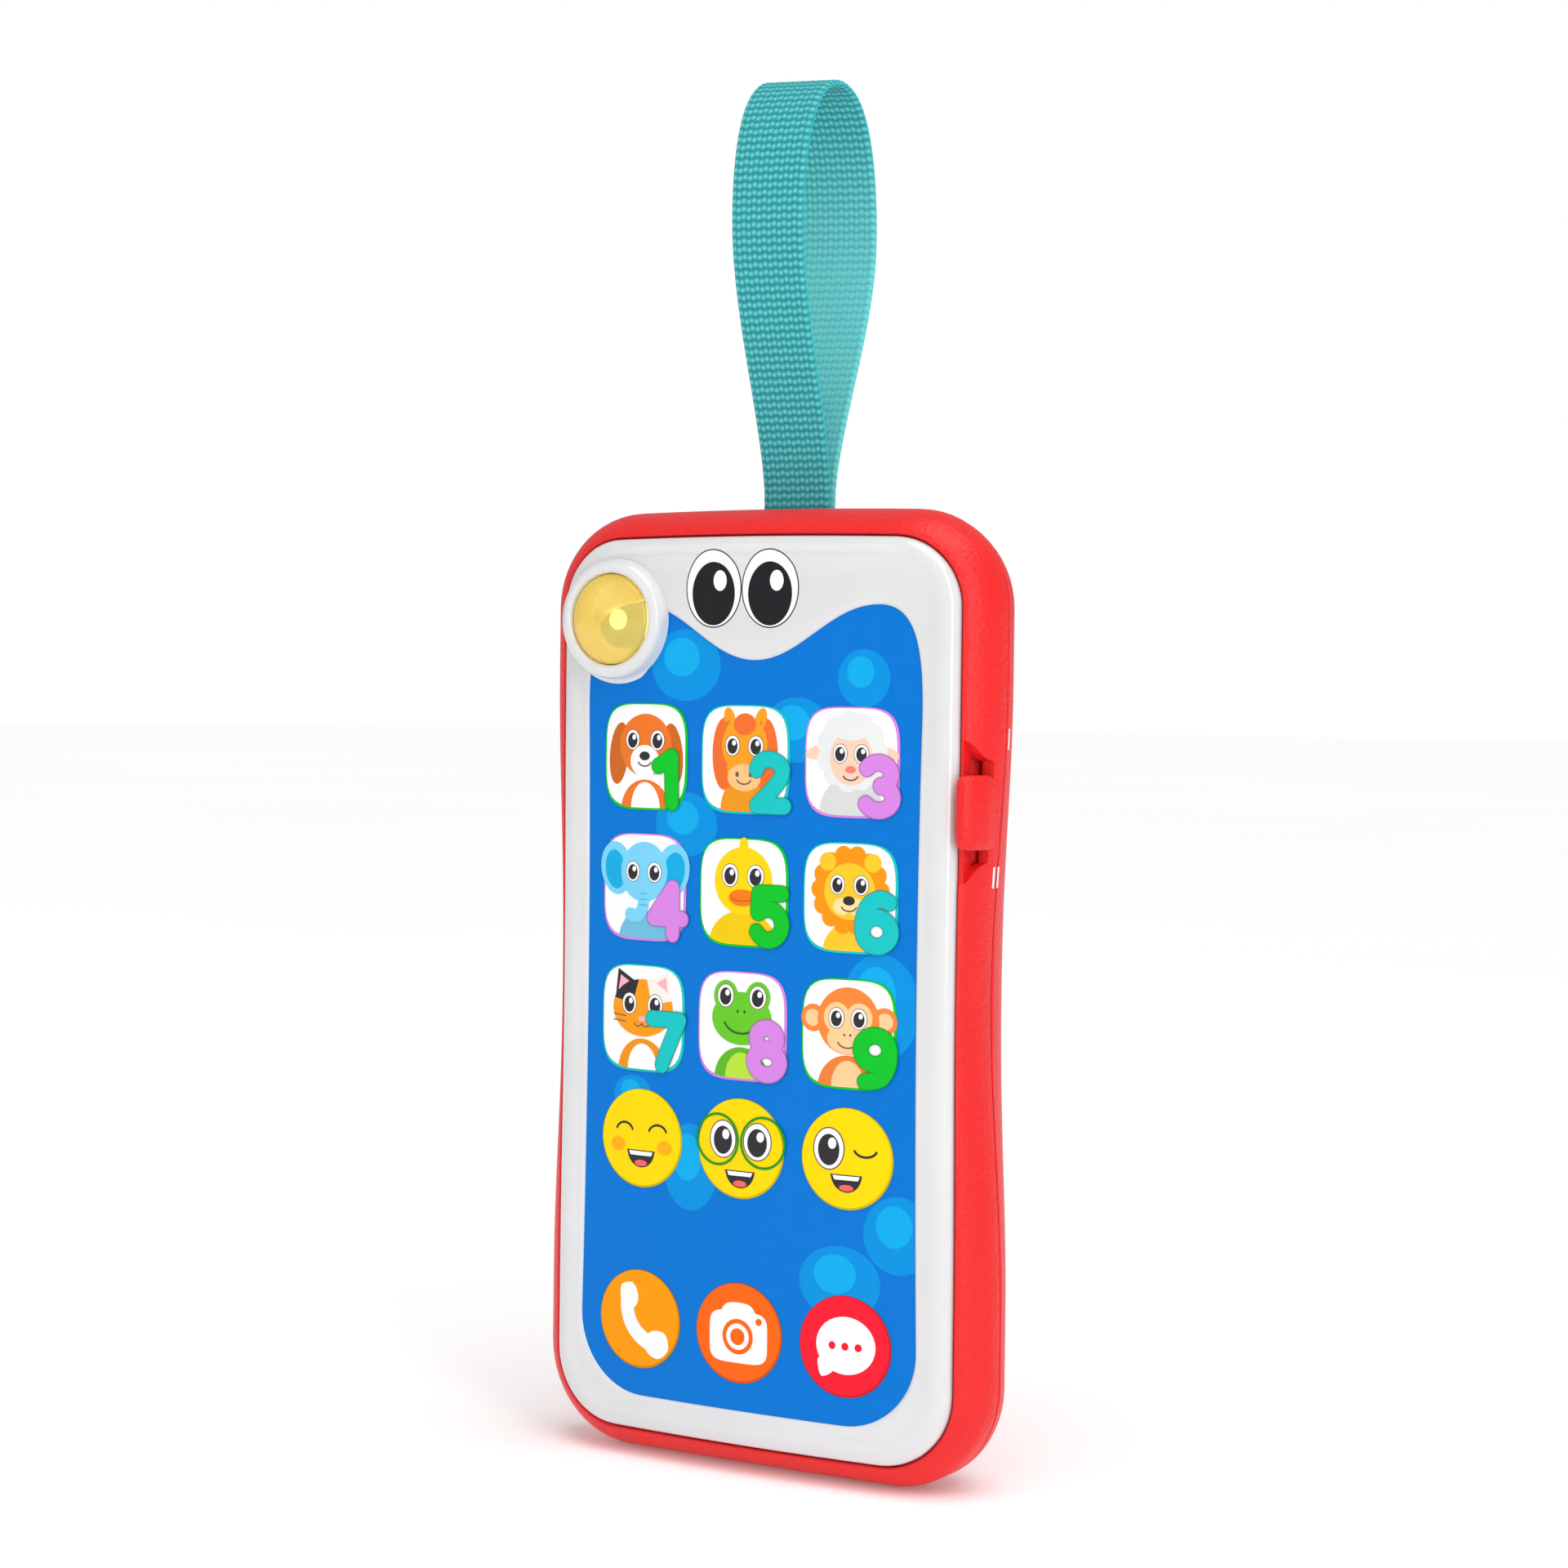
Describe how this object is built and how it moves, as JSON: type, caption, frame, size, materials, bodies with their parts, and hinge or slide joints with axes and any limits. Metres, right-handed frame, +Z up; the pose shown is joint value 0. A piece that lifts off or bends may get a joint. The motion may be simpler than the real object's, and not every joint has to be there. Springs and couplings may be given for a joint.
{
  "type": "toy cell phone",
  "caption": "Child's toy cell phone with a crowned printed face of round and square push keys, a torch lens, a side slide switch and a webbing hand loop on top.",
  "frame": {"origin": "centre of the flat strip on the bottom edge, in the plane where the casing halves meet", "axes": "+Z up along the phone to the strap, -Y out of the face with the keys, +X towards the slide switch"},
  "size_m": [0.08, 0.0324, 0.2158],
  "materials": {
    "casing_red": "fine grained red plastic",
    "bezel_white": "glossy white plastic",
    "film_blue": "glossy printed plastic film, blue ground",
    "lens_amber": "clear amber plastic",
    "reflector_white": "white plastic",
    "led_clear": "clear light-emitting diode",
    "key_rubber": "soft grey silicone rubber",
    "inner_cream": "cream plastic",
    "board_green": "green solder mask",
    "part_black": "black plastic",
    "foam_black": "black foam",
    "webbing_teal": "woven polyester webbing",
    "wire_red": "red insulation",
    "wire_black": "black insulation",
    "steel": "zinc plated steel",
    "cell_jacket": "printed cell jacket"
  },
  "bodies": {
    "casing": {"front_casing": "casing_red", "rear_casing": "casing_red", "switch_guide": "casing_red", "bezel": "bezel_white", "screen_film": "film_blue", "torch_lens": "lens_amber", "torch_reflector": "reflector_white", "torch_led": "led_clear", "key_guide": "inner_cream", "main_board": "board_green", "sound_chip": "part_black", "capacitor": "part_black", "speaker": "part_black", "battery_tray": "part_black", "slide_switch": "steel", "speaker_gasket": "foam_black", "board_screw_1": "steel", "housing_screw_1": "steel", "board_screw_2": "steel", "housing_screw_2": "steel", "board_screw_3": "steel", "housing_screw_3": "steel", "board_screw_4": "steel", "housing_screw_4": "steel", "cell_1_plus_contact": "steel", "cell_2_plus_contact": "steel", "cell_1_spring": "steel", "cell_2_spring": "steel", "strap_pin": "steel", "cell_1": "cell_jacket", "cell_2": "cell_jacket", "strap_tail": "webbing_teal", "battery_wire_red": "wire_red", "speaker_wire_red": "wire_red", "battery_wire_black": "wire_black", "speaker_wire_black": "wire_black"},
    "slide_knob": {"slide_knob": "casing_red"},
    "switch_actuator": {"switch_actuator": "part_black"},
    "strap": {"strap_loop": "webbing_teal"},
    "battery_door": {"battery_door": "casing_red", "battery_door_screw": "steel"},
    "key_1": {"key_1": "key_rubber"},
    "key_2": {"key_2": "key_rubber"},
    "key_3": {"key_3": "key_rubber"},
    "key_4": {"key_4": "key_rubber"},
    "key_5": {"key_5": "key_rubber"},
    "key_6": {"key_6": "key_rubber"},
    "key_7": {"key_7": "key_rubber"},
    "key_8": {"key_8": "key_rubber"},
    "key_9": {"key_9": "key_rubber"},
    "key_laugh": {"key_laugh": "key_rubber"},
    "key_glasses": {"key_glasses": "key_rubber"},
    "key_wink": {"key_wink": "key_rubber"},
    "key_call": {"key_call": "key_rubber"},
    "key_camera": {"key_camera": "key_rubber"},
    "key_message": {"key_message": "key_rubber"}
  },
  "joints": [
    {"name": "key_1_press", "type": "slide", "parent": "casing", "child": "key_1", "axis": [0, 1, 0], "range_m": [0, 0.0005], "stiffness_N_per_m": 900, "springref_m": -0.0005},
    {"name": "key_2_press", "type": "slide", "parent": "casing", "child": "key_2", "axis": [0, 1, 0], "range_m": [0, 0.0005], "stiffness_N_per_m": 900, "springref_m": -0.0005},
    {"name": "key_3_press", "type": "slide", "parent": "casing", "child": "key_3", "axis": [0, 1, 0], "range_m": [0, 0.0005], "stiffness_N_per_m": 900, "springref_m": -0.0005},
    {"name": "key_4_press", "type": "slide", "parent": "casing", "child": "key_4", "axis": [0, 1, 0], "range_m": [0, 0.0005], "stiffness_N_per_m": 900, "springref_m": -0.0005},
    {"name": "key_5_press", "type": "slide", "parent": "casing", "child": "key_5", "axis": [0, 1, 0], "range_m": [0, 0.0005], "stiffness_N_per_m": 900, "springref_m": -0.0005},
    {"name": "key_6_press", "type": "slide", "parent": "casing", "child": "key_6", "axis": [0, 1, 0], "range_m": [0, 0.0005], "stiffness_N_per_m": 900, "springref_m": -0.0005},
    {"name": "key_7_press", "type": "slide", "parent": "casing", "child": "key_7", "axis": [0, 1, 0], "range_m": [0, 0.0005], "stiffness_N_per_m": 900, "springref_m": -0.0005},
    {"name": "key_8_press", "type": "slide", "parent": "casing", "child": "key_8", "axis": [0, 1, 0], "range_m": [0, 0.0005], "stiffness_N_per_m": 900, "springref_m": -0.0005},
    {"name": "key_9_press", "type": "slide", "parent": "casing", "child": "key_9", "axis": [0, 1, 0], "range_m": [0, 0.0005], "stiffness_N_per_m": 900, "springref_m": -0.0005},
    {"name": "key_laugh_press", "type": "slide", "parent": "casing", "child": "key_laugh", "axis": [0, 1, 0], "range_m": [0, 0.0005], "stiffness_N_per_m": 900, "springref_m": -0.0005},
    {"name": "key_glasses_press", "type": "slide", "parent": "casing", "child": "key_glasses", "axis": [0, 1, 0], "range_m": [0, 0.0005], "stiffness_N_per_m": 900, "springref_m": -0.0005},
    {"name": "key_wink_press", "type": "slide", "parent": "casing", "child": "key_wink", "axis": [0, 1, 0], "range_m": [0, 0.0005], "stiffness_N_per_m": 900, "springref_m": -0.0005},
    {"name": "key_call_press", "type": "slide", "parent": "casing", "child": "key_call", "axis": [0, 1, 0], "range_m": [0, 0.0005], "stiffness_N_per_m": 900, "springref_m": -0.0005},
    {"name": "key_camera_press", "type": "slide", "parent": "casing", "child": "key_camera", "axis": [0, 1, 0], "range_m": [0, 0.0005], "stiffness_N_per_m": 900, "springref_m": -0.0005},
    {"name": "key_message_press", "type": "slide", "parent": "casing", "child": "key_message", "axis": [0, 1, 0], "range_m": [0, 0.0005], "stiffness_N_per_m": 900, "springref_m": -0.0005},
    {"name": "slide_knob_travel", "type": "slide", "parent": "casing", "child": "slide_knob", "axis": [0, 0, 1], "range_m": [-0.002, 0.002]},
    {"name": "switch_actuator_travel", "type": "slide", "parent": "casing", "child": "switch_actuator", "axis": [0, 0, 1], "range_m": [-0.002, 0.002]},
    {"name": "strap_bend", "type": "hinge", "parent": "casing", "child": "strap", "pos_m": [0, 0.006, 0.1519], "axis": [1, 0, 0], "range_deg": [-75, 65], "stiffness_Nm_per_rad": 0.006},
    {"name": "battery_door_lift", "type": "slide", "parent": "casing", "child": "battery_door", "axis": [0, 1, 0], "range_m": [0, 0.02]}
  ],
  "couplings": [
    {"joint": "switch_actuator_travel", "follows": "slide_knob_travel", "ratio": 1}
  ]
}
